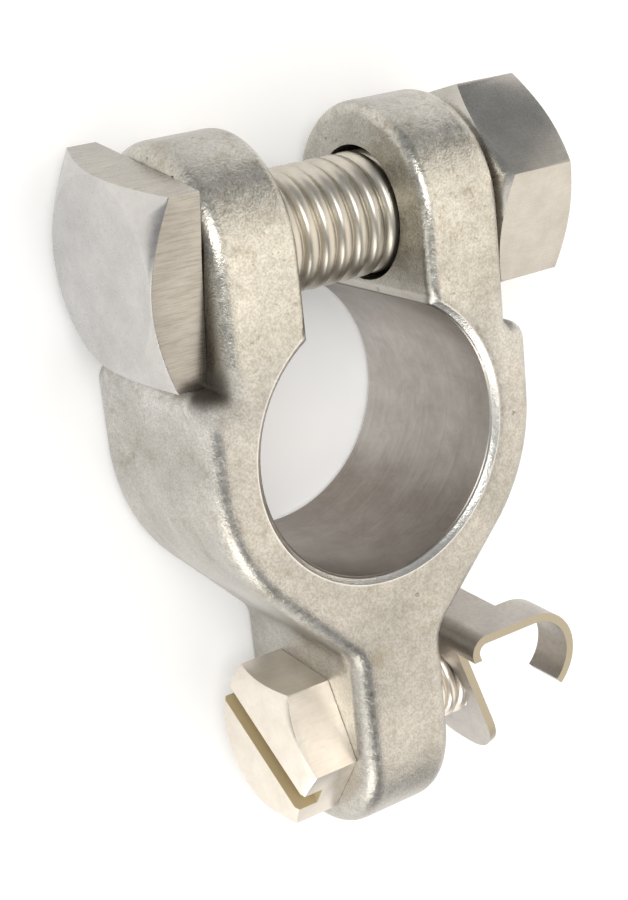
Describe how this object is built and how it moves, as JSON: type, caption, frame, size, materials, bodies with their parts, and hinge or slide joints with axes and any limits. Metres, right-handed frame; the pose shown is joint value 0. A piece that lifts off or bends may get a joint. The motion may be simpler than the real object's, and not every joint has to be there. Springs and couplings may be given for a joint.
{
  "type": "battery terminal clamp",
  "caption": "Cast split-ring clamp for a battery post, closed by a square-headed bolt and nut, with a slotted screw and bent saddle for the cable.",
  "frame": {"origin": "centre of the post bore at the casting's flat back face", "axes": "+Z along the post bore, from the flat back face to the open front face; +X along the clamping bolt from its head to its nut; +Y from the bore to the ears"},
  "size_m": [0.0335, 0.0483, 0.0146],
  "materials": {
    "tinned_casting": "as cast under bright tin plating",
    "bolt_steel": "bright zinc plated",
    "screw_steel": "yellowish bright zinc plated",
    "saddle_sheet": "plated sheet"
  },
  "bodies": {
    "clamp": {"clamp_body": "tinned_casting"},
    "nut": {"clamp_nut": "bolt_steel"},
    "bolt": {"clamp_bolt": "bolt_steel"},
    "screw": {"cable_screw": "screw_steel"},
    "saddle": {"cable_saddle": "saddle_sheet"}
  },
  "joints": [
    {"name": "nut_turn", "type": "hinge", "parent": "clamp", "child": "nut", "pos_m": [0.0108, 0.0127, 0.0071], "axis": [1, 0, 0], "range_deg": [0, 1440]},
    {"name": "bolt_slide", "type": "slide", "parent": "clamp", "child": "bolt", "axis": [-1, 0, 0], "range_m": [0, 0.005]},
    {"name": "screw_turn", "type": "hinge", "parent": "clamp", "child": "screw", "pos_m": [-0.0035, -0.0213, 0.0071], "axis": [-1, 0, 0], "range_deg": [-180, 360]},
    {"name": "saddle_slide", "type": "slide", "parent": "clamp", "child": "saddle", "axis": [1, 0, 0], "range_m": [-0.0005, 0.001]}
  ],
  "couplings": [
    {"joint": "bolt_slide", "follows": "nut_turn", "m_per_rad": 0.00019894},
    {"joint": "saddle_slide", "follows": "screw_turn", "m_per_rad": 0.00015915}
  ]
}
